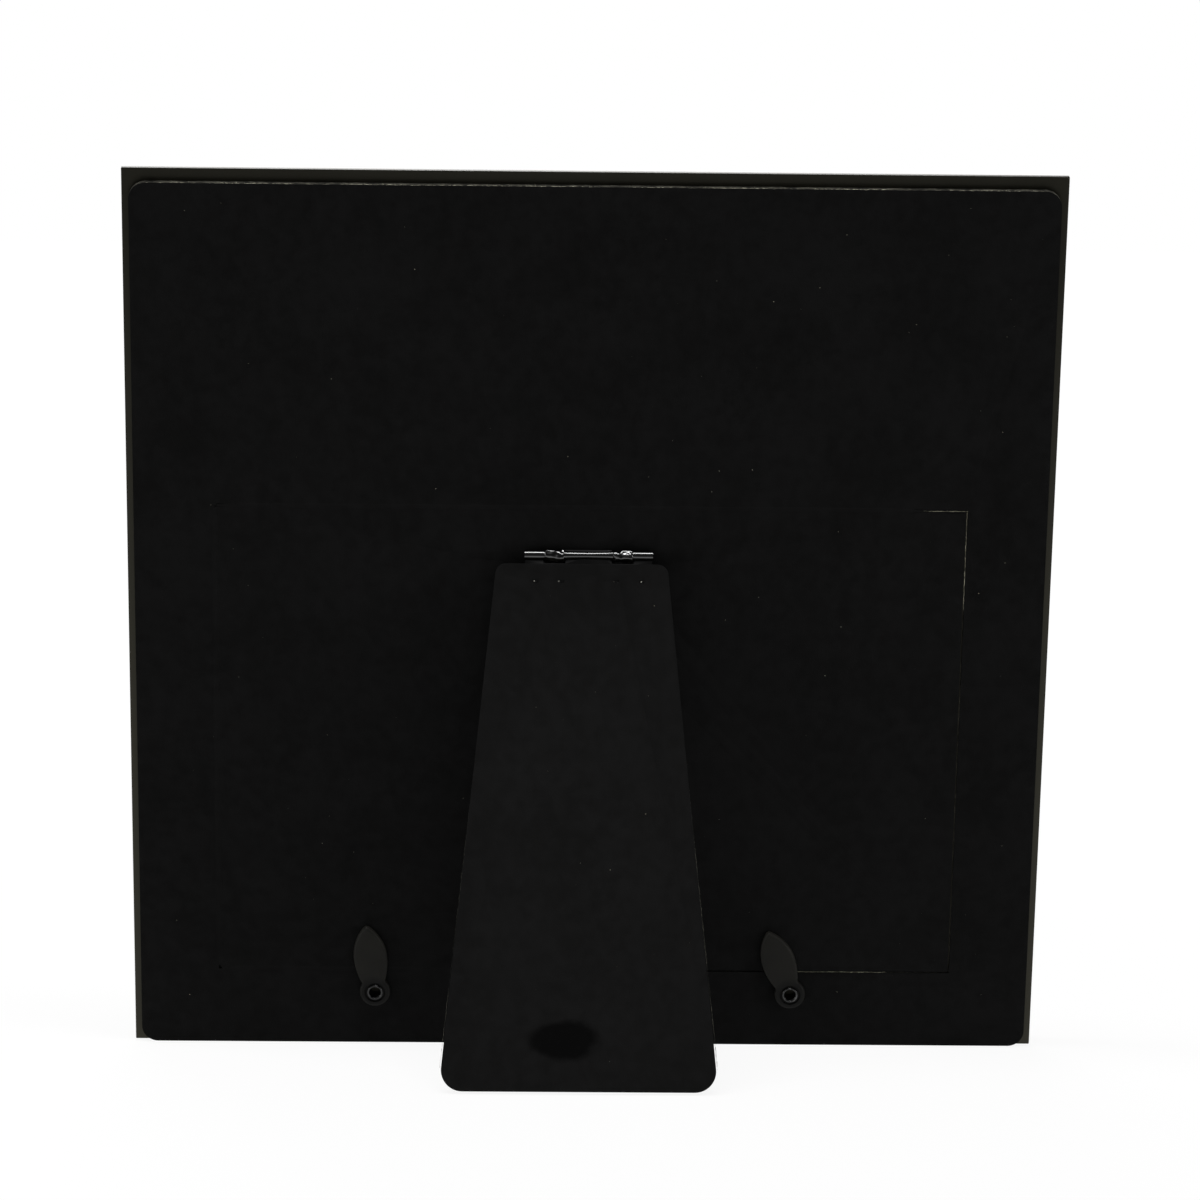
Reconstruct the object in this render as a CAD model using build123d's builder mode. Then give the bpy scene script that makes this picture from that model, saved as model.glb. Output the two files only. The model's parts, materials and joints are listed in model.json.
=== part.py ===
from build123d import *
import os
from math import atan2, cos, degrees, radians, sin

os.makedirs("parts", exist_ok=True)

# A photo frame that stands on a hinged easel leg, in millimetres, as it stands with the leg open.
# +Z is up, the display front faces -Y and the leg stands out behind, towards +Y.
# Pieces are drawn on planes of the board: x to the right as seen from behind, y up the board
# from the panel's bottom edge, and z out of the panel's back.

# Print, glass and pad
print_width = 152.4
print_height = 101.6
print_thickness = 0.3
print_play = 1.2  # the rabbet is this much wider and higher than the print
print_lap = 3.0  # how far the lip covers each edge of the print
glass_thickness = 2.0
glass_play = 0.5
glass_arris = 0.2
pad_corner_radius = 2.0

# Front panel, square
panel_border = 25.4  # from each end of the print to the panel's side
panel_side = print_width + 2 * panel_border
lip_depth = 3.0
rabbet_depth = 6.4
panel_land = 1.2  # square edge left behind the bevel
bevel_width = 4.2
window_bevel = 1.8

# Backing board, its covering and the tape that holds it
board_margin = 1.6  # what the panel shows beyond the board, on average
board_side = panel_side - 2 * board_margin
board_lift = 0.4  # board's bottom edge above the panel's
board_corner_radius = 3.6
board_core = 1.6
cover_thickness = 0.25
tape_thickness = 0.15
tape_width = 8.0
tape_inset = 1.5

# Door cut in the board
door_side_lap = 5.9  # beyond each end of the print
door_edge_lap = 3.9  # beyond the print's top and bottom
door_width = print_width + 2 * door_side_lap
door_height = print_height + 2 * door_edge_lap
door_bottom = 18.6
door_top = door_bottom + door_height
door_kerf = 0.35
crease_width = 0.9
crease_depth = 0.1

# Hinge
hinge_drop = 10.2  # axis below the door's top
hinge_height = door_top - hinge_drop
hinge_offset = -0.5  # to the left as seen from behind
sheet_thickness = 0.4
running_gap = 0.05
knuckle_radius = 1.4
knuckle_width = 4.3
knuckle_spacing = 15.0
knuckle_bevel = 0.15
knuckle_end_play = 0.1
barrel_length = 28.1
barrel_radius = 1.05
barrel_bore_radius = 0.72
barrel_bore_depth = 4.2
waist_radius = 0.6
leaf_width = 26.5
leaf_reach = 9.0
leaf_notch = 1.75  # leaf's top edge below the axis, beside the knuckles
web_gap = 0.15
stop_gap = 0.03
prong_width = 1.0
prong_play = 0.05
leg_prong_drop = 5.9
leg_prong_inner = 6.0
leg_prong_outer = 11.6
door_prong_drop = 4.0
door_prong_inner = 3.4
door_prong_outer = 9.4

# Leg
open_angle = 25.0
leg_foot_lift = 0.8  # folded leg's foot above the panel's bottom edge
leg_length = hinge_height - leg_foot_lift
leg_top_drop = 2.06
leg_top_width = 37.4
leg_foot_width = 60.6
leg_offset = -1.5  # from the hinge's middle
leg_core = 1.7
leg_top_radius = 2.4
leg_foot_radius = 4.6

# Turn buttons and their eyelets
button_spacing = 93.8
button_offset = -0.4
button_drop = 5.3  # pivot below the door
button_height = door_bottom - button_drop
button_left_turn = 7.1
button_right_turn = 19.4
button_gap = 0.1
button_thickness = 1.5
button_bevel = 0.4
eye_radius = 3.45
eye_recess_radius = 2.25
eye_recess_depth = 0.35
leaf_length = 16.2  # to the point of the leaf before it is rounded
leaf_half_width = 3.75
leaf_widest_at = 8.3
leaf_waist_at = 2.2
leaf_waist_half_width = 2.55
leaf_tip_radius = 0.9
notch_radius = 0.8  # between the leaf and the eye
eyelet_radius = 1.45
eyelet_bore_radius = 1.25
eyelet_rim_radius = 1.78
eyelet_rim_height = 0.45
eyelet_rim_bevel = 0.18
eyelet_flange_radius = 2.3
eyelet_flange_thickness = 0.3
eyelet_recess_depth = 0.4
eyelet_recess_play = 0.15

# Levels out of the panel's back
panel_depth = lip_depth + rabbet_depth
board_level = tape_thickness
cover_level = board_level + board_core
back_level = cover_level + cover_thickness
axis_level = back_level + knuckle_radius

# Levels out of the leg, from the hinge's axis. The leaf runs tangent to the barrel's neck.
knuckle_bore = knuckle_radius - sheet_thickness
neck_radius = knuckle_bore - running_gap
leaf_level = -neck_radius
leg_level = leaf_level + sheet_thickness
leg_core_level = leg_level + cover_thickness
leg_cover_level = leg_core_level + leg_core
leg_thickness = leg_core + 2 * cover_thickness
leg_back_level = leg_level + leg_thickness

# The lean follows from where the open leg's foot and the board's bottom edge meet the ground
open_rad = radians(open_angle)


def leg_on_board(down, level):
    """Height up the board and level out of it, of a point on the open leg."""
    height = hinge_height - down * cos(open_rad) + level * sin(open_rad)
    out_level = axis_level + down * sin(open_rad) + level * cos(open_rad)
    return height, out_level


foot_height, foot_level = leg_on_board(leg_length, leg_level)
lean = atan2(foot_height - board_lift, foot_level - back_level)


def on_ground_axes(height, level):
    """Distance to the rear and upwards of a point given up the board and out of it."""
    return height * sin(lean) + level * cos(lean), height * cos(lean) - level * sin(lean)


# The origin is under the middle of the whole frame
heel_up = on_ground_axes(board_lift, back_level)[1]
front_reach = on_ground_axes(bevel_width, -panel_depth)[0]
foot_reach = on_ground_axes(*leg_on_board(leg_length, leg_back_level))[0]
top_reach = on_ground_axes(board_lift + board_side, back_level)[0]
rear_reach = max(foot_reach, top_reach)

board_up = Vector(0, sin(lean), cos(lean))
board_out = Vector(0, cos(lean), -sin(lean))
leg_out = board_up * sin(open_rad) + board_out * cos(open_rad)
seen_right = Vector(-1, 0, 0)

board_plane = Plane(
    origin=(0, -(front_reach + rear_reach) / 2, -heel_up), x_dir=seen_right, z_dir=board_out
)
hinge_point = board_plane.from_local_coords((hinge_offset, hinge_height, axis_level))
door_hinge_plane = Plane(origin=hinge_point, x_dir=seen_right, z_dir=board_out)
leg_plane = Plane(origin=hinge_point, x_dir=seen_right, z_dir=leg_out)
hinge_axis = Axis(hinge_point, seen_right)
out_axis = Axis(board_plane.origin, board_out)

# Places that several pieces share
door_centre = door_bottom + door_height / 2
board_centre = board_lift + board_side / 2
rabbet_width = print_width + print_play
rabbet_height = print_height + print_play
window_width = print_width - 2 * print_lap
window_height = print_height - 2 * print_lap
button_places = [
    (button_offset - button_spacing / 2, button_height),
    (button_offset + button_spacing / 2, button_height),
]
eyelet_hole_radius = eyelet_radius + running_gap
door_prong_places = [
    (x, -door_prong_drop)
    for x in (-door_prong_outer, -door_prong_inner, door_prong_inner, door_prong_outer)
]
leg_prong_places = [
    (x, -leg_prong_drop)
    for x in (-leg_prong_outer, -leg_prong_inner, leg_prong_inner, leg_prong_outer)
]
prong_slot = (prong_width + 2 * prong_play, sheet_thickness + 2 * prong_play)

# Front panel, bevelled towards its face, with the window and the rabbet behind it
with BuildPart() as front_panel:
    with BuildSketch(board_plane):
        with Locations((0, panel_side / 2)):
            Rectangle(panel_side, panel_side)
    extrude(amount=-panel_land)
    with BuildSketch(board_plane.offset(-panel_land)):
        with Locations((0, panel_side / 2)):
            Rectangle(panel_side, panel_side)
    with BuildSketch(board_plane.offset(-panel_depth)):
        with Locations((0, panel_side / 2)):
            Rectangle(panel_side - 2 * bevel_width, panel_side - 2 * bevel_width)
    loft()
    with BuildSketch(board_plane):
        with Locations((0, door_centre)):
            Rectangle(rabbet_width, rabbet_height)
    extrude(amount=-rabbet_depth, mode=Mode.SUBTRACT)
    with BuildSketch(board_plane):
        with Locations((0, door_centre)):
            Rectangle(window_width, window_height)
    extrude(amount=-panel_depth, mode=Mode.SUBTRACT)
    face = front_panel.faces().sort_by(out_axis)[0]
    chamfer(face.inner_wires()[0].edges(), window_bevel)
front_panel.part.label = "front_panel"
export_step(front_panel.part, "parts/front_panel.step")

# Glass against the lip
with BuildPart() as glass_pane:
    with BuildSketch(board_plane.offset(-rabbet_depth)):
        with Locations((0, door_centre)):
            Rectangle(rabbet_width - glass_play, rabbet_height - glass_play)
    extrude(amount=glass_thickness)
    broad_faces = glass_pane.faces().sort_by(out_axis)
    chamfer(broad_faces[0].edges() + broad_faces[-1].edges(), glass_arris)
glass_pane.part.label = "glass_pane"
export_step(glass_pane.part, "parts/glass_pane.step")

# Print behind the glass
print_level = glass_thickness - rabbet_depth
with BuildPart() as photo_insert:
    with BuildSketch(board_plane.offset(print_level)):
        with Locations((0, door_centre)):
            Rectangle(print_width, print_height)
    extrude(amount=print_thickness)
photo_insert.part.label = "photo_insert"
export_step(photo_insert.part, "parts/photo_insert.step")

# Pad that the door presses on the print
pad_level = print_level + print_thickness
with BuildPart() as filler_pad:
    with BuildSketch(board_plane.offset(pad_level)):
        with Locations((0, door_centre)):
            RectangleRounded(print_width, print_height, pad_corner_radius)
    extrude(amount=board_level - pad_level)
filler_pad.part.label = "filler_pad"
export_step(filler_pad.part, "parts/filler_pad.step")

# Four strips of tape round the board's inner face
tape_place = board_side / 2 - tape_inset - tape_width / 2
tape_side_length = board_side - 2 * (tape_inset + tape_width) - 2 * tape_inset
with BuildPart() as board_tape:
    with BuildSketch(board_plane):
        with Locations((0, board_centre - tape_place), (0, board_centre + tape_place)):
            Rectangle(board_side - 2 * tape_inset, tape_width)
        with Locations((-tape_place, board_centre), (tape_place, board_centre)):
            Rectangle(tape_width, tape_side_length)
    extrude(amount=tape_thickness)
board_tape.part.label = "board_tape"
export_step(board_tape.part, "parts/board_tape.step")

# Outline shared by the board and its covering
with BuildSketch() as board_outline:
    with Locations((0, board_centre)):
        RectangleRounded(board_side, board_side, board_corner_radius)
    with Locations(*button_places):
        Circle(eyelet_hole_radius, mode=Mode.SUBTRACT)

# Backing board, with the opening that the door closes and a recess behind each eyelet
with BuildPart() as back_board:
    with BuildSketch(board_plane.offset(board_level)):
        add(board_outline.sketch)
        with Locations((0, door_centre)):
            Rectangle(door_width + 2 * door_kerf, door_height + 2 * door_kerf, mode=Mode.SUBTRACT)
    extrude(amount=board_core)
    with BuildSketch(board_plane.offset(board_level)):
        with Locations(*button_places):
            Circle(eyelet_flange_radius + eyelet_recess_play)
    extrude(amount=eyelet_recess_depth, mode=Mode.SUBTRACT)
back_board.part.label = "back_board"
export_step(back_board.part, "parts/back_board.step")

# Slots for the prongs of the leaf on the door
with BuildSketch() as door_prong_slots:
    with Locations(*[(hinge_offset + x, hinge_height + y) for x, y in door_prong_places]):
        Rectangle(*prong_slot)

# Door, cut from the same board
with BuildPart() as door_board:
    with BuildSketch(board_plane.offset(board_level)):
        with Locations((0, door_centre)):
            Rectangle(door_width, door_height)
        add(door_prong_slots.sketch, mode=Mode.SUBTRACT)
    extrude(amount=board_core)
door_board.part.label = "door_board"
export_step(door_board.part, "parts/door_board.step")

# Covering, slit on three sides of the door and creased along the fourth
with BuildSketch() as door_slit:
    with Locations((0, door_top)):
        Rectangle(
            door_width + 2 * door_kerf, door_height + door_kerf, align=(Align.CENTER, Align.MAX)
        )
        Rectangle(door_width, door_height, align=(Align.CENTER, Align.MAX), mode=Mode.SUBTRACT)
with BuildPart() as cover_sheet:
    with BuildSketch(board_plane.offset(cover_level)):
        add(board_outline.sketch)
        add(door_slit.sketch, mode=Mode.SUBTRACT)
        add(door_prong_slots.sketch, mode=Mode.SUBTRACT)
    extrude(amount=cover_thickness)
    with BuildSketch(board_plane.offset(back_level)):
        with Locations((0, door_top + door_kerf / 2)):
            SlotOverall(door_width, crease_width)
    extrude(amount=-crease_depth, mode=Mode.SUBTRACT)
cover_sheet.part.label = "cover_sheet"
export_step(cover_sheet.part, "parts/cover_sheet.step")

# Leaf on the door: two rolled knuckles, their straps, the plate under the leg and its prongs
with BuildPart() as hinge_door_leaf:
    with BuildSketch(door_hinge_plane) as knuckle_walls:
        with GridLocations(knuckle_spacing, 0, 2, 1):
            with Locations((0, knuckle_radius - sheet_thickness / 2)):
                Rectangle(knuckle_width, sheet_thickness)
        chamfer(knuckle_walls.vertices().group_by(Axis.Y)[-1], knuckle_bevel)
    revolve(axis=hinge_axis)
    with BuildSketch(door_hinge_plane.offset(-knuckle_radius)):
        with GridLocations(knuckle_spacing, 0, 2, 1):
            Rectangle(
                knuckle_width - 2 * knuckle_bevel, leaf_reach / 2, align=(Align.CENTER, Align.MAX)
            )
        with Locations((0, -leaf_notch)):
            Rectangle(leaf_width, leaf_reach - leaf_notch, align=(Align.CENTER, Align.MAX))
    extrude(amount=sheet_thickness)
    with BuildSketch(door_hinge_plane.offset(-knuckle_radius)):
        with Locations(*door_prong_places):
            Rectangle(prong_width, sheet_thickness)
    extrude(amount=-(cover_thickness + board_core))
hinge_door_leaf.part.label = "hinge_door_leaf"
export_step(hinge_door_leaf.part, "parts/hinge_door_leaf.step")

# Leaf on the leg: necked barrel, webs, stop lip, plate and the prongs through the leg
neck_outer = (knuckle_spacing + knuckle_width) / 2 + knuckle_end_play
neck_inner = (knuckle_spacing - knuckle_width) / 2 - knuckle_end_play
barrel_end = barrel_length / 2
end_web_width = barrel_end - neck_outer - 2 * web_gap
end_web_place = neck_outer + web_gap + end_web_width / 2
# The lip ends where the open leaf comes down on the door
lip_reach = (knuckle_radius - stop_gap - neck_radius * cos(open_rad)) / sin(open_rad)
with BuildPart() as hinge_leg_leaf:
    with BuildSketch(leg_plane):
        with BuildLine():
            Polyline(
                (-neck_inner, barrel_radius),
                (-neck_inner, neck_radius),
                (-neck_outer, neck_radius),
                (-neck_outer, barrel_radius),
                (-barrel_end, barrel_radius),
                (-barrel_end, 0),
                (barrel_end, 0),
                (barrel_end, barrel_radius),
                (neck_outer, barrel_radius),
                (neck_outer, neck_radius),
                (neck_inner, neck_radius),
                (neck_inner, barrel_radius),
            )
            ThreePointArc((-neck_inner, barrel_radius), (0, waist_radius), (neck_inner, barrel_radius))
        make_face()
    revolve(axis=hinge_axis)
    with BuildSketch(leg_plane.offset(leaf_level)):
        with Locations((0, -leaf_notch)):
            Rectangle(leaf_width, leaf_reach - leaf_notch, align=(Align.CENTER, Align.MAX))
        with Locations((-end_web_place, 0), (end_web_place, 0)):
            Rectangle(end_web_width, leaf_reach / 2, align=(Align.CENTER, Align.MAX))
        with Locations((0, lip_reach)):
            Rectangle(
                2 * (neck_inner - web_gap), lip_reach + leaf_reach / 2, align=(Align.CENTER, Align.MAX)
            )
    extrude(amount=sheet_thickness)
    with BuildSketch(leg_plane.offset(leg_level)):
        with Locations(*leg_prong_places):
            Rectangle(prong_width, sheet_thickness)
    extrude(amount=leg_thickness)
    for end in (-barrel_end, barrel_end):
        end_plane = Plane(origin=leg_plane.from_local_coords((end, 0, 0)), z_dir=seen_right * end)
        with BuildSketch(end_plane):
            Circle(barrel_bore_radius)
        extrude(amount=-barrel_bore_depth, mode=Mode.SUBTRACT)
hinge_leg_leaf.part.label = "hinge_leg_leaf"
export_step(hinge_leg_leaf.part, "parts/hinge_leg_leaf.step")

# Outline of the tapered leg, from the hinge's axis, with its prong slots
with BuildSketch() as leg_outline:
    with BuildLine():
        Polyline(
            (leg_offset - leg_top_width / 2, -leg_top_drop),
            (leg_offset + leg_top_width / 2, -leg_top_drop),
            (leg_offset + leg_foot_width / 2, -leg_length),
            (leg_offset - leg_foot_width / 2, -leg_length),
            close=True,
        )
    make_face()
    fillet(leg_outline.vertices().group_by(Axis.Y)[-1], leg_top_radius)
    fillet(leg_outline.vertices().group_by(Axis.Y)[0], leg_foot_radius)
    with Locations(*leg_prong_places):
        Rectangle(*prong_slot, mode=Mode.SUBTRACT)

# The leg's three layers
leg_layers = {
    "leg_front_cover": (leg_level, cover_thickness),
    "leg_board": (leg_core_level, leg_core),
    "leg_rear_cover": (leg_cover_level, cover_thickness),
}
for layer_name, (level, thickness) in leg_layers.items():
    with BuildPart() as leg_layer:
        with BuildSketch(leg_plane.offset(level)):
            add(leg_outline.sketch)
        extrude(amount=thickness)
    leg_layer.part.label = layer_name
    export_step(leg_layer.part, f"parts/{layer_name}.step")

# Outline of a turn button, from its pivot
with BuildSketch() as button_outline:
    Circle(eye_radius)
    with BuildLine():
        TangentArc(
            (leaf_half_width, leaf_widest_at), (leaf_waist_half_width, leaf_waist_at), tangent=(0, -1)
        )
        TangentArc((leaf_half_width, leaf_widest_at), (0, leaf_length), tangent=(0, 1))
        Line((leaf_waist_half_width, leaf_waist_at), (0, leaf_waist_at))
        mirror(about=Plane.YZ)
    make_face()
    meets_eye = button_outline.vertices().filter_by(
        lambda v: v.Y > leaf_waist_at / 2 and v.Y < leaf_widest_at / 2
    )
    fillet(meets_eye, notch_radius)
    fillet(button_outline.vertices().sort_by(Axis.Y)[-1], leaf_tip_radius)

# Turn buttons, each on a hollow eyelet clinched behind the board
recess_floor = button_gap + button_thickness - eye_recess_depth
rim_level = recess_floor + running_gap
rim_top = rim_level + eyelet_rim_height
flange_back = eyelet_recess_depth - board_core - cover_thickness
button_sides = {
    "left": (button_places[0], button_left_turn),
    "right": (button_places[1], button_right_turn),
}
for side, ((place_x, place_y), turn) in button_sides.items():
    pivot = board_plane.from_local_coords((place_x, place_y, back_level))
    across_leaf = seen_right * cos(radians(turn)) + board_up * sin(radians(turn))
    button_plane = Plane(origin=pivot, x_dir=across_leaf, z_dir=board_out)
    with BuildPart() as turn_button:
        with BuildSketch(button_plane.offset(button_gap)):
            add(button_outline.sketch)
        extrude(amount=button_thickness)
        chamfer(turn_button.faces().sort_by(out_axis)[-1].edges(), button_bevel)
        with BuildSketch(button_plane):
            Circle(eyelet_hole_radius)
        extrude(amount=button_gap + button_thickness, mode=Mode.SUBTRACT)
        with BuildSketch(button_plane.offset(recess_floor)):
            Circle(eye_recess_radius)
        extrude(amount=eye_recess_depth, mode=Mode.SUBTRACT)
    turn_button.part.label = f"turn_button_{side}"
    export_step(turn_button.part, f"parts/turn_button_{side}.step")

    with BuildPart() as eyelet:
        with BuildSketch(Plane(origin=pivot, x_dir=seen_right, z_dir=board_up * -1)):
            with BuildLine():
                Polyline(
                    (eyelet_bore_radius, flange_back - eyelet_flange_thickness),
                    (eyelet_flange_radius, flange_back - eyelet_flange_thickness),
                    (eyelet_flange_radius, flange_back),
                    (eyelet_radius, flange_back),
                    (eyelet_radius, rim_level),
                    (eyelet_rim_radius, rim_level),
                    (eyelet_rim_radius, rim_top - eyelet_rim_bevel),
                    (eyelet_rim_radius - eyelet_rim_bevel, rim_top),
                    (eyelet_bore_radius + eyelet_rim_bevel, rim_top),
                    (eyelet_bore_radius, rim_top - eyelet_rim_bevel),
                    close=True,
                )
            make_face()
        revolve(axis=Axis(pivot, board_out))
    eyelet.part.label = f"eyelet_{side}"
    export_step(eyelet.part, f"parts/eyelet_{side}.step")

print("lean", round(degrees(lean), 3), "degrees")
print("hinge axis", tuple(round(v, 4) for v in hinge_point))
for place_x, place_y in button_places:
    pivot = board_plane.from_local_coords((place_x, place_y, back_level))
    print("button pivot", tuple(round(v, 4) for v in pivot))
print("out of the back", tuple(round(v, 6) for v in board_out))
print("up the board", tuple(round(v, 6) for v in board_up))
print("board plane origin", tuple(round(v, 4) for v in board_plane.origin))
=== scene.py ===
import json
import math
import random
import re
import bpy
import bmesh
from mathutils import Matrix, Vector


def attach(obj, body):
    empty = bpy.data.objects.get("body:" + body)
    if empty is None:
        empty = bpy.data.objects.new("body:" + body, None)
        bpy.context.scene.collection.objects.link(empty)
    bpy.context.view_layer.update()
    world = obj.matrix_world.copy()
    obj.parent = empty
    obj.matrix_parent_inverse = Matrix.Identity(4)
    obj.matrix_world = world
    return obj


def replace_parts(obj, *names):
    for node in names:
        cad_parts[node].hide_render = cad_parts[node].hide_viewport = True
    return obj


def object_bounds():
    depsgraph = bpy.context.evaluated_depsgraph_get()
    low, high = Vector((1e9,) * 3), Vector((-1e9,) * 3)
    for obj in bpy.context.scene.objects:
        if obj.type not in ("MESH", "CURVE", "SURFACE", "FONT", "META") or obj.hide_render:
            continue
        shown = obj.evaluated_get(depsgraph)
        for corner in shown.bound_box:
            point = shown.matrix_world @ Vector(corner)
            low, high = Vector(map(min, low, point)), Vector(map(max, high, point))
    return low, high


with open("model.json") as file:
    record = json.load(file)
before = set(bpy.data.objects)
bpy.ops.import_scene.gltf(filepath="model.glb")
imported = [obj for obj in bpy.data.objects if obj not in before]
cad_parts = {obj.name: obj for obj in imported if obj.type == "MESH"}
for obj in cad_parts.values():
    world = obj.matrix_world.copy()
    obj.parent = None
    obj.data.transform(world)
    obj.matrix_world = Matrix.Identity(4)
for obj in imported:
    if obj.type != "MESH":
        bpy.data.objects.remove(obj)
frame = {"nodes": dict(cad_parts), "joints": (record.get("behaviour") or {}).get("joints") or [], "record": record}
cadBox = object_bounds()
print("frame loaded")

# Places on the board and on the open leg, in metres
place = {
    "hingeHeight": 0.1178,
    "hingeAside": -0.0005,
    "hingeLevel": 0.0034,
    "openAngle": math.radians(25),
    "backLevel": 0.0020,
    "legLevel": 0.00165,  # rear face of the leg, from the hinge's axis
}
joints = {joint["name"]: joint for joint in frame["joints"]}
boardOut = Vector(joints["left_button_turn"]["axis"]).normalized()
seenRight = Vector((-1, 0, 0))
boardUp = boardOut.cross(seenRight)
hingePoint = Vector(joints["leg_hinge"]["pos_m"])
boardOrigin = (
    hingePoint
    - seenRight * place["hingeAside"]
    - boardUp * place["hingeHeight"]
    - boardOut * place["hingeLevel"]
)
legOut = boardUp * math.sin(place["openAngle"]) + boardOut * math.cos(place["openAngle"])
legUp = legOut.cross(seenRight)


def onBoard(aside, height, level=0.0):
    return boardOrigin + seenRight * aside + boardUp * height + boardOut * level


def onLeg(aside, up, level=0.0):
    return hingePoint + seenRight * aside + legUp * up + legOut * level


# Camera, from the corners of the board, the panel, the leg and the door
cameraAt = {
    "lens": 147.853,
    "distance": 1.08575,
    "elevation": math.radians(6.6927),
    "azimuth": math.radians(-1.2381),
    "roll": math.radians(0.6198),
    "target": (-0.002194, 0, 0.103935),
}


def makeCamera():
    target = Vector(cameraAt["target"])
    around, above = cameraAt["azimuth"], cameraAt["elevation"]
    toCamera = Vector((-math.sin(around) * math.cos(above), math.cos(around) * math.cos(above), math.sin(above)))
    right = (-toCamera).cross(Vector((0, 0, 1))).normalized()
    up = right.cross(-toCamera)
    c, s = math.cos(cameraAt["roll"]), math.sin(cameraAt["roll"])
    right, up = c * right + s * up, c * up - s * right
    camera = bpy.data.objects.new("camera", bpy.data.cameras.new("camera"))
    bpy.context.scene.collection.objects.link(camera)
    turn = Matrix((right, up, toCamera)).transposed().to_4x4()
    camera.matrix_world = Matrix.Translation(target + toCamera * cameraAt["distance"]) @ turn
    camera.data.lens = cameraAt["lens"]
    camera.data.sensor_width = 36
    camera.data.clip_end = 20
    bpy.context.scene.camera = camera


makeCamera()
print("camera placed")


# A socket with the usual signs of arithmetic, each of which adds its node
class Value:
    def __init__(self, finish, socket):
        self.finish = finish
        self.socket = socket

    def maths(self, operation, *terms):
        return self.finish.node("ShaderNodeMath", {"operation": operation}, *terms)

    def __add__(self, other):
        return self.maths("ADD", self, other)

    def __radd__(self, other):
        return self.maths("ADD", other, self)

    def __sub__(self, other):
        return self.maths("SUBTRACT", self, other)

    def __rsub__(self, other):
        return self.maths("SUBTRACT", other, self)

    def __mul__(self, other):
        return self.maths("MULTIPLY", self, other)

    def __rmul__(self, other):
        return self.maths("MULTIPLY", other, self)

    def __truediv__(self, other):
        return self.maths("DIVIDE", self, other)

    def __rtruediv__(self, other):
        return self.maths("DIVIDE", other, self)

    def __pow__(self, other):
        return self.maths("POWER", self, other)

    def clamped(self):
        return self.finish.node("ShaderNodeClamp", {}, self)

    def part(self, axis):
        return self.finish.node("ShaderNodeSeparateXYZ", {}, self, output=axis)

    def step(self, low, high):
        # 0 below low, 1 above high, smooth between them
        return self.finish.node(
            "ShaderNodeMapRange", {"interpolation_type": "SMOOTHSTEP"}, Value=self, FromMin=low, FromMax=high
        )


# A material and its nodes
class Finish:
    def __init__(self, name, **constants):
        self.material = bpy.data.materials.new(name)
        self.material.use_nodes = True
        self.tree = self.material.node_tree
        self.shader = self.tree.nodes["Principled BSDF"]
        self.output = self.tree.nodes["Material Output"]
        for socket, value in constants.items():
            self.plug(self.shader.inputs[spaced(socket)], value)

    def plug(self, socket, value):
        if isinstance(value, Value):
            self.tree.links.new(value.socket, socket)
        elif socket.type == "RGBA" and len(value) == 3:
            socket.default_value = (*value, 1)
        else:
            socket.default_value = value

    def node(self, kind, settings, *terms, output=0, **named):
        made = self.tree.nodes.new(kind)
        for name, value in settings.items():
            setattr(made, name, value)
        for socket, value in zip(made.inputs, terms):
            self.plug(socket, value)
        for name, value in named.items():
            found = [s for s in made.inputs if s.enabled and s.name == spaced(name)]
            self.plug(found[0], value)
        outputs = [s for s in made.outputs if s.enabled]
        return Value(self, outputs[output] if isinstance(output, int) else made.outputs[output])

    def where(self):
        return self.node("ShaderNodeTexCoord", {}, output="Object")

    def moved(self, vector, turn=(0, 0, 0), stretch=(1, 1, 1), shift=(0, 0, 0)):
        return self.node("ShaderNodeMapping", {}, Vector=vector, Rotation=turn, Scale=stretch, Location=shift)

    def turned(self, centre, up, out):
        # Object coordinates with X to the right seen from behind, Y along up and Z along out, from centre
        axes = Matrix((up.cross(out), up, out))
        return self.moved(self.where(), turn=tuple(axes.to_euler("XYZ")), shift=tuple(-(axes @ centre)))

    def noise(self, vector, scale, detail, rough):
        return self.node("ShaderNodeTexNoise", {}, Vector=vector, Scale=scale, Detail=detail, Roughness=rough)

    def cells(self, vector, scale):
        return self.node("ShaderNodeTexVoronoi", {"feature": "F1"}, Vector=vector, Scale=scale)

    def mix(self, share, first, second):
        return self.node("ShaderNodeMix", {"data_type": "RGBA"}, Factor=share, A=first, B=second, output=0)

    def bump(self, height, strength, distance):
        return self.node("ShaderNodeBump", {}, Strength=strength, Distance=distance, Height=height)

    def set(self, **values):
        for socket, value in values.items():
            self.plug(self.shader.inputs[spaced(socket)], value)
        return self.material


def spaced(name):
    # "FromMin" names the socket "From Min"
    return re.sub("(?<=[a-z])(?=[A-Z])|(?<=[A-Z])(?=[A-Z][a-z])", " ", name)


def grey(level, warmth=0.0):
    # the linear colour of a grey written from 0 to 255, a little redder and less blue by warmth
    shares = [level / 255 * tint for tint in (1 + warmth * 0.3, 1 + warmth * 0.1, 1 - warmth)]
    return tuple((t / 12.92) if t <= 0.04045 else ((t + 0.055) / 1.055) ** 2.4 for t in shares)


# the leg's two tones make a lighter copy of the board's paper: painted light
suede = {"dark": 12.5, "light": 19, "fleck": 27, "rough": 0.95, "nap": 0.00006, "litCopyDark": 14, "litCopyLight": 19.5}
# a soft dark patch on the leg near its foot: where it lies, its half sizes and its grey
footPatch = {"aside": -0.00475, "up": -0.1059, "halfWidth": 0.0078, "halfHeight": 0.0046, "grey": 2}


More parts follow.
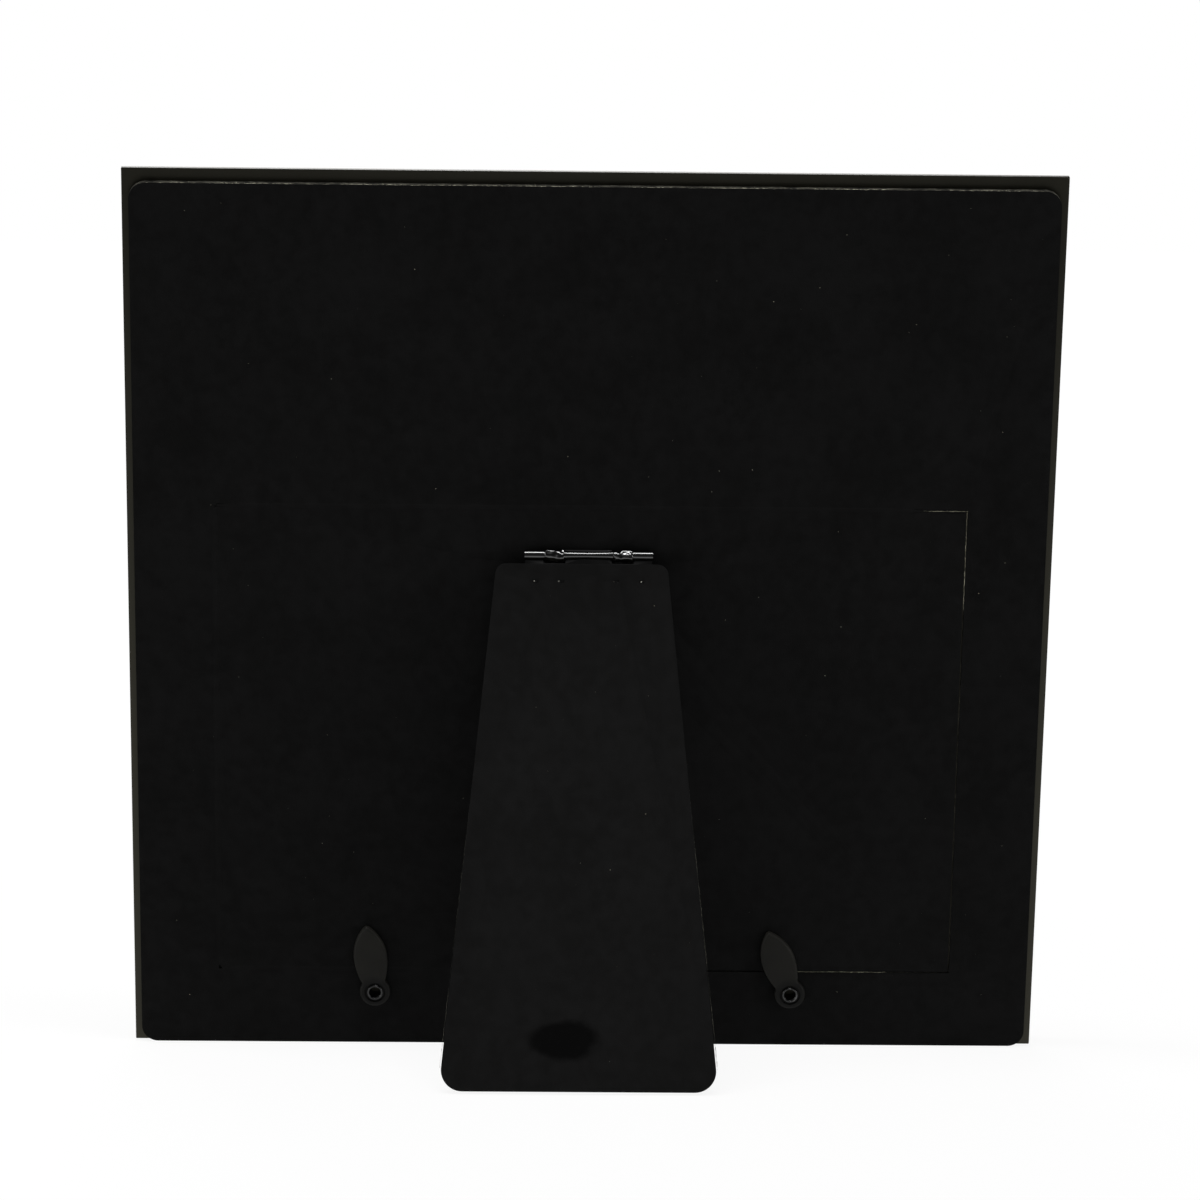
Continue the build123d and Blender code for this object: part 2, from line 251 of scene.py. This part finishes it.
def suedePaper(name, dark, light):
    finish = Finish(name, Roughness=suede["rough"], SpecularIORLevel=0.08)
    here = finish.where()
    clouds = finish.noise(here, 48, 5, 0.6)
    mottle = finish.noise(here, 380, 3, 0.6)
    nap = finish.noise(here, 4200, 2, 0.7)
    tone = (clouds * 0.45 + mottle * 0.55).step(0.32, 0.68)
    colour = finish.mix(tone, grey(dark, 0.02), grey(light))
    colour = finish.mix(nap.step(0.62, 0.8) * 0.6, colour, grey(suede["fleck"]))
    return finish, colour, finish.bump(nap + mottle * 0.5, 0.5, suede["nap"])


def boardPaper():
    finish, colour, normal = suedePaper("suede_paper", suede["dark"], suede["light"])
    return finish.set(BaseColor=colour, Normal=normal)


def legPaper():
    # the leg's paper, a lighter copy of the board's that paints the light falling on the upward-facing leg, with the
    # soft dark patch near its foot
    finish, colour, normal = suedePaper("leg_suede_paper", suede["litCopyDark"], suede["litCopyLight"])
    centre = onLeg(footPatch["aside"], footPatch["up"])
    here = finish.turned(centre, legUp, legOut)
    ragged = finish.noise(finish.where(), 260, 3, 0.6)
    across, along = here.part("X") / footPatch["halfWidth"], here.part("Y") / footPatch["halfHeight"]
    reach = (across * across + along * along) ** 0.5 + (ragged - 0.5) * 0.5
    patch = 1 - reach.step(0.72, 1.12)
    return finish.set(BaseColor=finish.mix(patch, colour, grey(footPatch["grey"])), Normal=normal)


cutBoard = {"dark": 20, "light": 64, "fleck": 150, "rough": 0.9}


def cutFibre():
    finish = Finish("cut_fibreboard", Roughness=cutBoard["rough"], SpecularIORLevel=0.1)
    here = finish.where()
    fibre = finish.noise(finish.moved(here, stretch=(0.5, 2, 2)), 1300, 5, 0.7)
    clump = finish.noise(finish.moved(here, stretch=(1, 0.3, 0.3)), 330, 4, 0.7)
    tone = (fibre * 0.45 + clump * 0.55).step(0.4, 0.62)
    colour = finish.mix(tone, grey(cutBoard["dark"], 0.1), grey(cutBoard["light"], 0.1))
    colour = finish.mix((fibre * 0.6 + clump * 0.4).step(0.6, 0.68), colour, grey(cutBoard["fleck"], 0.08))
    return finish.set(BaseColor=colour, Normal=finish.bump(fibre, 0.9, 0.0002))


# copies of one cut-edge fibre colour: the lighter ones paint the highlight where an edge catches the light, the darker
# ones paint shade
def paleFibre(name, dark, light):
    finish = Finish(name, Roughness=0.8, SpecularIORLevel=0.2)
    here = finish.where()
    tone = (finish.noise(here, 70, 2, 0.6) * 0.55 + finish.noise(here, 900, 3, 0.7) * 0.45).step(0.44, 0.6)
    return finish.set(BaseColor=finish.mix(tone, grey(dark, 0.12), grey(light, 0.1)))


lacquer = {"dark": 10, "light": 15, "rough": 0.36}


def satinLacquer():
    finish = Finish("satin_lacquer", SpecularIORLevel=0.36, SpecularTint=(1.0, 0.96, 0.76, 1))
    here = finish.where()
    haze = finish.noise(here, 35, 4, 0.6)
    orange = finish.noise(here, 1400, 2, 0.5)
    colour = finish.mix(haze.step(0.35, 0.65), grey(lacquer["dark"], 0.2), grey(lacquer["light"], 0.2))
    rough = haze * 0.12 + (lacquer["rough"] - 0.06)
    return finish.set(BaseColor=colour, Roughness=rough, Normal=finish.bump(orange, 0.12, 0.00004))


def hingeEnamel(name, wave, waveDepth):
    finish = Finish(name, SpecularIORLevel=1.0)
    here = finish.where()
    grain = finish.noise(here, 900, 4, 0.6)
    dents = finish.noise(here, wave, 1, 0.5)
    colour = finish.mix(grain.step(0.4, 0.7), grey(1), grey(5))
    normal = finish.bump(dents + grain * 0.04, 1.0, waveDepth)
    return finish.set(BaseColor=colour, Roughness=grain * 0.06 + 0.06, Normal=normal)


def wornTip():
    finish = Finish("worn_prong_tip", Metallic=0.9)
    rub = finish.noise(finish.where(), 2400, 3, 0.6)
    colour = finish.mix(rub.step(0.3, 0.7), grey(90, 0.05), grey(190, 0.05))
    return finish.set(BaseColor=colour, Roughness=rub * 0.2 + 0.3)


buttonTurns = ("left_button_turn", "right_button_turn")


def buttonPlastic():
    finish = Finish("button_plastic", SpecularIORLevel=0.1)
    here = finish.where()
    haze = finish.noise(here, 180, 4, 0.6)
    grain = finish.noise(here, 3600, 2, 0.6)
    colour = finish.mix(haze.step(0.35, 0.7), grey(23, 0.1), grey(28, 0.1))
    near = [finish.moved(here, shift=tuple(-Vector(joints[turn]["pos_m"]))) for turn in buttonTurns]
    gaps = [finish.node("ShaderNodeVectorMath", {"operation": "LENGTH"}, place) for place in near]
    # a darker ring round each eye, where the recess lies: painted shade
    paintedEyeShade = 1 - gaps[0].maths("MINIMUM", gaps[0], gaps[1]).step(0.0030, 0.0046)
    colour = finish.mix(paintedEyeShade * 0.9, colour, grey(6, 0.1))
    return finish.set(BaseColor=colour, Roughness=haze * 0.15 + 0.48, Normal=finish.bump(grain, 0.3, 0.00003))


def eyeletEnamel():
    finish = Finish("eyelet_enamel", CoatWeight=0.2, CoatRoughness=0.1, SpecularIORLevel=0.3)
    here = finish.where()
    # bright patches of worn enamel that also stand in for glints on the rim: wear and painted highlight
    wearAndGlint = finish.noise(here, 420, 3, 0.6).step(0.52, 0.66)
    colour = finish.mix(wearAndGlint, grey(3), grey(70))
    return finish.set(BaseColor=colour, Metallic=wearAndGlint * 0.6, Roughness=0.24 - wearAndGlint * 0.06)


def clearGlass():
    finish = Finish("clear_glass", IOR=1.5, TransmissionWeight=1.0)
    smear = finish.noise(finish.where(), 60, 3, 0.5)
    return finish.set(BaseColor=(0.97, 0.99, 0.98), Roughness=smear.step(0.4, 0.8) * 0.02)


def printPaper():
    finish = Finish("print_paper", SpecularIORLevel=0.45)
    here = finish.where()
    fibre = finish.noise(here, 2200, 3, 0.6)
    colour = finish.mix(fibre, grey(232), grey(240))
    return finish.set(BaseColor=colour, Roughness=fibre * 0.1 + 0.4, Normal=finish.bump(fibre, 0.1, 0.00002))


def greyboard():
    finish = Finish("greyboard", Roughness=0.9, SpecularIORLevel=0.3)
    here = finish.where()
    fibre = finish.noise(here, 1300, 4, 0.7)
    fleck = finish.cells(here, 900).step(0.5, 0.1)
    colour = finish.mix(fibre.step(0.3, 0.7), grey(140), grey(168))
    colour = finish.mix(fleck * 0.5, colour, grey(96))
    return finish.set(BaseColor=colour, Normal=finish.bump(fibre, 0.4, 0.00008))


def clothTape():
    finish = Finish("tape", SpecularIORLevel=0.4)
    here = finish.where()
    weave = finish.noise(here, 1800, 3, 0.6)
    colour = finish.mix(weave, grey(190), grey(208))
    return finish.set(BaseColor=colour, Roughness=weave * 0.2 + 0.45, Normal=finish.bump(weave, 0.3, 0.00004))


finishes = {
    "suede_paper": boardPaper(),
    "lit_suede_paper": legPaper(),
    "pale_fibre": paleFibre("pale_fibre", 34, 175),
    "bright_fibre": paleFibre("bright_fibre", 110, 200),
    "faint_fibre": paleFibre("faint_fibre", 22, 85),
    "board": cutFibre(),
    "panel": satinLacquer(),
    "hinge_steel": hingeEnamel("hinge_enamel", 160, 0.00012),
    "rolled_steel": hingeEnamel("rolled_enamel", 480, 0.0011),
    "worn_tip": wornTip(),
    "button_plastic": buttonPlastic(),
    "eyelet_steel": eyeletEnamel(),
    "glass": clearGlass(),
    "print_paper": printPaper(),
    "pad": greyboard(),
    "tape": clothTape(),
}


def dress(piece, slot):
    piece.data.materials.clear()
    piece.data.materials.append(finishes[slot])


slotOf = {subpart["node"]: subpart["material_slot"] for subpart in frame["record"]["subparts"]}
finishOf = {**slotOf, "leg_rear_cover": "lit_suede_paper", "hinge_door_leaf": "rolled_steel"}
for node, finish in finishOf.items():
    dress(frame["nodes"][node], finish)
print("materials made")


def bodyOf(node):
    for body, members in frame["record"]["behaviour"]["bodies"].items():
        if node in members:
            return body


def addPiece(name, mesh, body, finish):
    piece = bpy.data.objects.new(name, mesh)
    bpy.context.scene.collection.objects.link(piece)
    mesh.materials.clear()
    mesh.materials.append(finishes[finish])
    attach(piece, body)
    return piece


def smoothed(mesh, angle):
    mesh.polygons.foreach_set("use_smooth", [True] * len(mesh.polygons))
    mesh.set_sharp_from_angle(angle=math.radians(angle))


# Pieces whose edges are rounded off: radius in metres, steps across it
rounded = {
    "front_panel": ("panel_lacquered", 0.0002, 2),
    "cover_sheet": ("board_covering", 0.00012, 2),
    "leg_rear_cover": ("leg_covering", 0.00016, 2),
    "hinge_door_leaf": ("hinge_leaf_on_door", 0.00009, 2),
    "hinge_leg_leaf": ("hinge_leaf_on_leg", 0.00010, 2),
    "turn_button_left": ("button_left", 0.00028, 3),
    "turn_button_right": ("button_right", 0.00028, 3),
}


def roundEdges(node, name, radius, steps):
    source = frame["nodes"][node]
    shell = bmesh.new()
    shell.from_mesh(source.data)
    bmesh.ops.remove_doubles(shell, verts=shell.verts, dist=0.000002)
    bmesh.ops.dissolve_limit(shell, angle_limit=math.radians(0.6), verts=shell.verts, edges=shell.edges)
    mesh = bpy.data.meshes.new(name)
    shell.to_mesh(mesh)
    shell.free()
    draft = bpy.data.objects.new(name + "_draft", mesh)
    bpy.context.scene.collection.objects.link(draft)
    bevel = draft.modifiers.new("edges", "BEVEL")
    bevel.width, bevel.segments, bevel.angle_limit = radius, steps, math.radians(28)
    graph = bpy.context.evaluated_depsgraph_get()
    finished = bpy.data.meshes.new_from_object(draft.evaluated_get(graph))
    bpy.data.objects.remove(draft)
    smoothed(finished, 24)
    piece = addPiece(name, finished, bodyOf(node), finishOf[node])
    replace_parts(piece, node)


for node, (name, radius, steps) in rounded.items():
    roundEdges(node, name, radius, steps)
print("edges rounded")


# A turned piece: radii and levels in metres along an axis, from a point on it
def turned(name, profile, start, axis, steps, closed):
    side = axis.orthogonal().normalized()
    other = axis.cross(side)
    vertices, faces = [], []
    for radius, level in profile:
        for i in range(steps):
            angle = 2 * math.pi * i / steps
            spoke = side * math.cos(angle) + other * math.sin(angle)
            vertices.append(tuple(start + axis * level + spoke * radius))
    rings = len(profile)
    for ring in range(rings if closed else rings - 1):
        after = (ring + 1) % rings
        for i in range(steps):
            j = (i + 1) % steps
            faces.append((ring * steps + i, ring * steps + j, after * steps + j, after * steps + i))
    if not closed:
        faces += [tuple(range(steps)), tuple((rings - 1) * steps + i for i in range(steps))]
    mesh = bpy.data.meshes.new(name)
    mesh.from_pydata(vertices, [], faces)
    shell = bmesh.new()
    shell.from_mesh(mesh)
    bmesh.ops.recalc_face_normals(shell, faces=shell.faces)
    shell.to_mesh(mesh)
    shell.free()
    smoothed(mesh, 50)
    return mesh


# Eyelets with a thin rolled rim: radius and level of each corner in millimetres, from the board's back level
eyelet = {
    "steps": 48,
    "corners": [
        (1.25, -2.15), (2.3, -2.15), (2.3, -1.85), (1.45, -1.85), (1.45, 1.3), (1.62, 1.33), (1.74, 1.42), (1.77, 1.55),
        (1.72, 1.67), (1.62, 1.74), (1.51, 1.75), (1.41, 1.71), (1.33, 1.62), (1.28, 1.5), (1.25, 1.3),
    ],
}
for side in ("left", "right"):
    pivot = Vector(joints[side + "_button_turn"]["pos_m"])
    backLevel = pivot - boardOut * ((pivot - onBoard(0, 0, place["backLevel"])).dot(boardOut))
    profile = [(radius / 1000, level / 1000) for radius, level in eyelet["corners"]]
    mesh = turned("eyelet_rolled_" + side, profile, backLevel, boardOut, eyelet["steps"], True)
    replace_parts(addPiece("eyelet_rolled_" + side, mesh, "frame", "eyelet_steel"), "eyelet_" + side)

# The barrel's waist between the knuckles, and the prong tips worn bright
waist = {"halfLength": 0.00533, "end": 0.00095, "middle": 0.00080, "rings": 24, "steps": 48}
profile = []
for i in range(waist["rings"] + 1):
    along = 2 * i / waist["rings"] - 1
    radius = waist["middle"] + (waist["end"] - waist["middle"]) * along * along
    profile.append((radius, along * waist["halfLength"]))
mesh = turned("barrel_waist", profile, hingePoint, seenRight, waist["steps"], False)
addPiece("barrel_waist", mesh, "leg", "hinge_steel")
# Prong tips: how far aside each lies, and its radius
prongTips = {
    "below": 0.0059,
    "steps": 12,
    "radii": {-0.0119: 0.00014, -0.0065: 0.00017, 0.0055: 0.00008, 0.0115: 0.00014},
}
for count, (aside, radius) in enumerate(prongTips["radii"].items()):
    dome = [(radius, -0.0003), (radius, 0.00002), (radius * 0.8, 0.00008), (radius * 0.3, 0.00011)]
    tip = onLeg(aside, -prongTips["below"], place["legLevel"])
    mesh = turned("prong_tip", dome, tip, legOut, prongTips["steps"], False)
    addPiece("prong_tip_" + str(count + 1), mesh, "leg", "worn_tip")
print("eyelets, waist and prong tips turned")


# A Geometry Nodes tree, its named inputs and its nodes
class Growth:
    def __init__(self, name, **inputs):
        self.tree = bpy.data.node_groups.new(name, "GeometryNodeTree")
        self.tree.interface.new_socket("Geometry", in_out="OUTPUT", socket_type="NodeSocketGeometry")
        self.tree.interface.new_socket("Geometry", in_out="INPUT", socket_type="NodeSocketGeometry")
        for title, kind in inputs.items():
            self.tree.interface.new_socket(spaced(title), in_out="INPUT", socket_type="NodeSocket" + kind)
        self.given = self.tree.nodes.new("NodeGroupInput")
        self.result = self.tree.nodes.new("NodeGroupOutput")

    def want(self, name):
        return self.given.outputs[spaced(name)]

    def node(self, kind, settings=None, output=0, **named):
        made = self.tree.nodes.new(kind)
        for name, value in (settings or {}).items():
            setattr(made, name, value)
        for name, value in named.items():
            socket = [s for s in made.inputs if s.enabled and s.name == spaced(name)][0]
            if isinstance(value, bpy.types.NodeSocket):
                self.tree.links.new(value, socket)
            else:
                socket.default_value = value
        return [s for s in made.outputs if s.enabled][output]

    def end(self, geometry):
        plain = self.node("GeometryNodeRealizeInstances", Geometry=geometry)
        painted = self.node("GeometryNodeSetMaterial", Geometry=plain, Material=self.want("Material"))
        self.tree.links.new(painted, self.result.inputs[0])
        return self.tree


def grownPiece(name, tree, base, slot, body, finish, **values):
    draft = bpy.data.objects.new(name + "_draft", base)
    bpy.context.scene.collection.objects.link(draft)
    modifier = draft.modifiers.new("growth", "NODES")
    modifier.node_group = tree
    values["Material"] = finishes[finish]
    for item in tree.interface.items_tree:
        for title, value in values.items():
            if item.in_out == "INPUT" and item.name == spaced(title):
                modifier[item.identifier] = value
    draft.update_tag()
    graph = bpy.context.evaluated_depsgraph_get()
    mesh = bpy.data.meshes.new_from_object(draft.evaluated_get(graph))
    bpy.data.objects.remove(draft)
    return addPiece(name, mesh, body, finish)


# A frayed cut edge: a thin torn lip along a line, with short fibres standing off it
def frayTree():
    fray = Growth(
        "frayed_edge", LipRadius="Float", Spacing="Float", FibreLength="Float", FibreRadius="Float",
        Wander="Float", Seed="Int", Material="Material",
    )
    line = fray.node("GeometryNodeMeshToCurve", Mesh=fray.want("Geometry"))
    fine = fray.node("GeometryNodeResampleCurve", {"mode": "LENGTH"}, Curve=line, Length=0.0004)
    spread = {"data_type": "FLOAT_VECTOR"}
    seed = fray.want("Seed")
    away = fray.node("FunctionNodeRandomValue", spread, Min=(-1, -1, -1), Max=(1, 1, 1), Seed=seed)
    shift = fray.node("ShaderNodeVectorMath", {"operation": "SCALE"}, Vector=away, Scale=fray.want("Wander"))
    torn = fray.node("GeometryNodeSetPosition", Geometry=fine, Offset=shift)
    uneven = fray.node("FunctionNodeRandomValue", {"data_type": "FLOAT"}, Min=0.05, Max=1.0, Seed=seed)
    thick = fray.node("ShaderNodeMath", {"operation": "MULTIPLY"})
    fray.tree.links.new(uneven, thick.node.inputs[0])
    fray.tree.links.new(fray.want("LipRadius"), thick.node.inputs[1])
    sized = fray.node("GeometryNodeSetCurveRadius", Curve=torn, Radius=thick)
    ring = fray.node("GeometryNodeCurvePrimitiveCircle", {"mode": "RADIUS"}, Resolution=5, Radius=1.0)
    lip = fray.node("GeometryNodeCurveToMesh", Curve=sized, ProfileCurve=ring, FillCaps=True, Scale=thick)
    roots = fray.node("GeometryNodeCurveToPoints", {"mode": "LENGTH"}, Curve=line, Length=fray.want("Spacing"))
    strewn = fray.node("GeometryNodeSetPosition", Geometry=roots, Offset=shift)
    fibre = fray.node(
        "GeometryNodeMeshCone", Vertices=4, RadiusTop=0.000012, RadiusBottom=fray.want("FibreRadius"),
        Depth=fray.want("FibreLength"),
    )
    way = fray.node("FunctionNodeRandomValue", spread, Min=(-1.9, -1.9, 0), Max=(1.9, 1.9, 6), Seed=seed)
    turn = fray.node("FunctionNodeEulerToRotation", Euler=way)
    size = fray.node("FunctionNodeRandomValue", {"data_type": "FLOAT"}, Min=0.3, Max=1.0, Seed=seed)
    fibres = fray.node("GeometryNodeInstanceOnPoints", Points=strewn, Instance=fibre, Rotation=turn, Scale=size)
    both = fray.tree.nodes.new("GeometryNodeJoinGeometry")
    fray.tree.links.new(lip, both.inputs[0])
    fray.tree.links.new(fibres, both.inputs[0])
    return fray.end(both.outputs[0])


def lineMesh(name, points):
    mesh = bpy.data.meshes.new(name)
    mesh.from_pydata([tuple(p) for p in points], [(i, i + 1) for i in range(len(points) - 1)], [])
    return mesh


# Where the cut edges fray: body, finish, ends, lip radius, fibre spacing, length and radius
cover = place["backLevel"]
leg = {"top": -0.0050, "foot": -0.1120, "level": 0.0015}


def across(height, level, *ends):
    return [onBoard(x, height, level) for x in ends]


def upright(*ends):
    return [onBoard(0.0823, y, cover) for y in ends]


def legSide(top, foot):
    return [onLeg(top, leg["top"], leg["level"]), onLeg(foot, leg["foot"], leg["level"])]


# these finishes paint light on the cut edges: painted highlight along the board's top edge and near the door's upper
# corner and bottom, painted shade lower down the slit and along the leg's sides
frays = {
    "board_top": ("frame", "pale_fibre", across(0.2004, 0.0017, -0.0962, 0.0962), 0.00008, 0.0013, 0.0006, 0.00006),
    "door_top": ("frame", "bright_fibre", across(0.1282, cover, 0.0728, 0.0824), 0.00007, 0.0007, 0.0003, 0.00003),
    "door_right": ("frame", "bright_fibre", upright(0.1283, 0.1150), 0.00007, 0.0008, 0.0003, 0.00003),
    "door_right_middle": ("frame", "pale_fibre", upright(0.1150, 0.1050), 0.00006, 0.0012, 0.0003, 0.00003),
    "door_right_low": ("frame", "faint_fibre", upright(0.1050, 0.0186), 0.00004, 0.0030, 0.0003, 0.00003),
    "door_bottom": ("frame", "bright_fibre", across(0.0184, cover, 0.0480, 0.0680), 0.00006, 0.0012, 0.0003, 0.00003),
    "door_bottom_right": (
        "frame", "faint_fibre", across(0.0184, cover, 0.0680, 0.0800), 0.00005, 0.0012, 0.0003, 0.00003
    ),
    "leg_right": ("leg", "faint_fibre", legSide(0.0172, 0.0286), 0.00006, 0.0014, 0.0004, 0.00003),
    "leg_left": ("leg", "faint_fibre", legSide(-0.0202, -0.0316), 0.00004, 0.0040, 0.0003, 0.00003),
}
frayWander = 0.00006
frayed = frayTree()
for count, (name, (body, finish, points, lip, spacing, length, radius)) in enumerate(frays.items()):
    name = "fray_" + name
    grownPiece(
        name, frayed, lineMesh(name, points), "board", body, finish,
        LipRadius=lip, Spacing=spacing, FibreLength=length, FibreRadius=radius, Wander=frayWander, Seed=count,
    )
print("edges frayed")


# Dust: small specks strewn over a face
def dustTree():
    dust = Growth("dust", Density="Float", Size="Float", Seed="Int", Material="Material")
    spots = dust.node(
        "GeometryNodeDistributePointsOnFaces", Mesh=dust.want("Geometry"), Density=dust.want("Density"),
        Seed=dust.want("Seed"),
    )
    speck = dust.node("GeometryNodeMeshIcoSphere", Radius=dust.want("Size"), Subdivisions=1)
    scale = {"Min": 0.25, "Max": 1.0, "Seed": dust.want("Seed")}
    size = dust.node("FunctionNodeRandomValue", {"data_type": "FLOAT"}, **scale)
    specks = dust.node("GeometryNodeInstanceOnPoints", Points=spots, Instance=speck, Scale=size)
    return dust.end(specks)


def patchMesh(name, corners):
    mesh = bpy.data.meshes.new(name)
    mesh.from_pydata([tuple(c) for c in corners], [], [tuple(range(len(corners)))])
    return mesh


# body, corners of the face, specks to the square metre, largest radius and seed
boardCorners = ((-0.097, 0.003), (0.097, 0.003), (0.097, 0.197), (-0.097, 0.197))
legCorners = ((-0.0300, -0.112), (0.0270, -0.112), (0.0155, -0.006), (-0.0185, -0.006))
# the pale finish is the specks' own dust colour here, while on the cut edges it is painted highlight
dusty = {
    "dust_on_board": ("frame", [onBoard(x, y, cover) for x, y in boardCorners], 3200, 0.00011, 4),
    "dust_on_leg": ("leg", [onLeg(x, y, place["legLevel"]) for x, y in legCorners], 4200, 0.00010, 11),
}
strewn = dustTree()
for name, (body, corners, density, size, seed) in dusty.items():
    grownPiece(
        name, strewn, patchMesh(name, corners), "suede_paper", body, "pale_fibre",
        Density=density, Size=size, Seed=seed,
    )
print("dust strewn")

# Soft ridges where the paper is pressed along the door's edges
crease = {"halfWidth": 0.0006, "height": 0.00005, "taper": 0.004, "wander": 0.00003, "steps": 60, "across": 6}
creases = {
    "crease_left": [onBoard(-0.08228, y, cover) for y in (0.0190, 0.1278)],
    "crease_top": [onBoard(x, 0.1282, cover) for x in (-0.0818, 0.0722)],
    "crease_bottom": [onBoard(x, 0.0184, cover) for x in (-0.0818, -0.0300)],
}


def makeCrease(name, start, end):
    along = end - start
    side = along.normalized().cross(boardOut)
    rng = random.Random(name)
    rows, wander = [], 0.0
    for i in range(crease["steps"] + 1):
        share = i / crease["steps"]
        ends = min(1, share * along.length / crease["taper"], (1 - share) * along.length / crease["taper"])
        wander = wander * 0.85 + rng.uniform(-1, 1) * crease["wander"]
        width = crease["halfWidth"] * (0.35 + 0.65 * ends) * rng.uniform(0.9, 1.1)
        height = crease["height"] * ends * rng.uniform(0.75, 1.0)
        row = []
        for j in range(crease["across"] + 1):
            turn = math.pi * j / crease["across"]
            foot = start + along * share + side * (width * math.cos(turn) + wander)
            row.append(foot + boardOut * (height * math.sin(turn)))
        rows.append(row)
    wide = crease["across"] + 1
    vertices = [tuple(v) for row in rows for v in row]
    faces = []
    for i in range(crease["steps"]):
        for j in range(wide):
            k = (j + 1) % wide
            faces.append((i * wide + j, i * wide + k, (i + 1) * wide + k, (i + 1) * wide + j))
    faces.append(tuple(range(wide - 1, -1, -1)))
    faces.append(tuple(crease["steps"] * wide + j for j in range(wide)))
    mesh = bpy.data.meshes.new(name)
    mesh.from_pydata(vertices, [], faces)
    shell = bmesh.new()
    shell.from_mesh(mesh)
    bmesh.ops.recalc_face_normals(shell, faces=shell.faces)
    shell.to_mesh(mesh)
    shell.free()
    smoothed(mesh, 60)
    # the ridges wear the lighter copy of the paper: painted highlight along the creases
    addPiece(name, mesh, "frame", "lit_suede_paper")


for name, (start, end) in creases.items():
    makeCrease(name, start, end)
print("creases pressed")

# Floor, lamps and surroundings
studio = {
    "floorSide": 8.0,
    "floorGrey": 0.72,
    "floorGlow": 1.02,
    "mirroredNear": 0.16,  # in gloss the floor fades from here
    "mirroredFar": 0.56,
    "mirroredFarGrey": 0.12,
    "top": 15.0,
    "side": 2.4,
    "front": 7.0,
    "world": 0.2,
    "mirroredLow": 0.06,
    "mirroredHigh": 0.5,
}


def makeFloor():
    bpy.ops.mesh.primitive_plane_add(size=studio["floorSide"], location=(0, 0, cadBox[0].z - 0.0002))
    floor = bpy.context.object
    floor.name = "floor"
    finish = Finish("pale_floor", Roughness=0.9, SpecularIORLevel=0.1)
    lightPath = finish.tree.nodes.new("ShaderNodeLightPath")
    centre = finish.node("ShaderNodeVectorMath", {"operation": "LENGTH"}, finish.where())
    finish.set(BaseColor=(studio["floorGrey"],) * 3)
    seen = Value(finish, lightPath.outputs["Is Camera Ray"]) * (centre.step(0.12, 0.5) * 0.12 + 0.88)
    # in gloss only the floor near the frame is bright
    far = centre.step(studio["mirroredNear"], studio["mirroredFar"])
    mirrored = Value(finish, lightPath.outputs["Is Glossy Ray"])
    share = (seen + mirrored + Value(finish, lightPath.outputs["Is Transmission Ray"])).clamped()
    colour = finish.mix(far * mirrored, (1, 1, 1), (studio["mirroredFarGrey"],) * 3)
    glow = finish.node("ShaderNodeEmission", {}, Color=colour, Strength=studio["floorGlow"])
    mixed = finish.tree.nodes.new("ShaderNodeMixShader")
    finish.plug(mixed.inputs[0], share)
    finish.tree.links.new(finish.shader.outputs[0], mixed.inputs[1])
    finish.tree.links.new(glow.socket, mixed.inputs[2])
    finish.tree.links.new(mixed.outputs[0], finish.output.inputs["Surface"])
    floor.data.materials.append(finish.material)


def makeLamp(name, position, aim, size, watts):
    lamp = bpy.data.lights.new(name, "AREA")
    lamp.energy = watts
    lamp.shape = "RECTANGLE"
    lamp.size, lamp.size_y = size
    holder = bpy.data.objects.new(name, lamp)
    bpy.context.scene.collection.objects.link(holder)
    holder.location = position
    holder.rotation_euler = (Vector(aim) - Vector(position)).to_track_quat("-Z", "Y").to_euler()


def makeSurroundings():
    world = bpy.data.worlds.new("studio")
    bpy.context.scene.world = world
    world.use_nodes = True
    nodes, links = world.node_tree.nodes, world.node_tree.links
    nodes.clear()
    lightPath = nodes.new("ShaderNodeLightPath")
    soft, white = nodes.new("ShaderNodeBackground"), nodes.new("ShaderNodeBackground")
    way, parts = nodes.new("ShaderNodeTexCoord"), nodes.new("ShaderNodeSeparateXYZ")
    links.new(way.outputs["Generated"], parts.inputs[0])
    rise = nodes.new("ShaderNodeMapRange")
    rise.interpolation_type = "SMOOTHSTEP"
    links.new(parts.outputs["Z"], rise.inputs["Value"])
    limits = {"From Min": 0.3, "From Max": 0.9, "To Min": studio["mirroredLow"], "To Max": studio["mirroredHigh"]}
    for name, value in limits.items():
        rise.inputs[name].default_value = value
    level = nodes.new("ShaderNodeMix")
    links.new(lightPath.outputs["Is Glossy Ray"], level.inputs["Factor"])
    level.inputs["A"].default_value = studio["world"]
    links.new(rise.outputs[0], level.inputs["B"])
    links.new(level.outputs[0], soft.inputs["Strength"])
    white.inputs["Color"].default_value = (1, 1, 1, 1)
    soft.inputs["Color"].default_value = (1, 1, 1, 1)
    mixed, output = nodes.new("ShaderNodeMixShader"), nodes.new("ShaderNodeOutputWorld")
    either = nodes.new("ShaderNodeMath")  # the camera and the glass see white
    either.operation = "MAXIMUM"
    links.new(lightPath.outputs["Is Camera Ray"], either.inputs[0])
    links.new(lightPath.outputs["Is Transmission Ray"], either.inputs[1])
    links.new(either.outputs[0], mixed.inputs[0])
    links.new(soft.outputs[0], mixed.inputs[1])
    links.new(white.outputs[0], mixed.inputs[2])
    links.new(mixed.outputs[0], output.inputs[0])


makeFloor()
makeSurroundings()
makeLamp("top", (0.1, 0.32, 1.25), (0, 0.1, 0.0), (1.1, 0.22), studio["top"])
makeLamp("left", (0.9, 0.16, 0.16), (0, 0, 0.1), (0.5, 0.4), studio["side"])
makeLamp("right", (-0.9, 0.16, 0.16), (0, 0, 0.1), (0.5, 0.4), studio["side"])
makeLamp("front", (0.2, -1.1, 0.9), (0, 0, 0.1), (0.9, 0.7), studio["front"])
bpy.context.scene.view_settings.view_transform = "Standard"
print("studio lit")

print("finished")
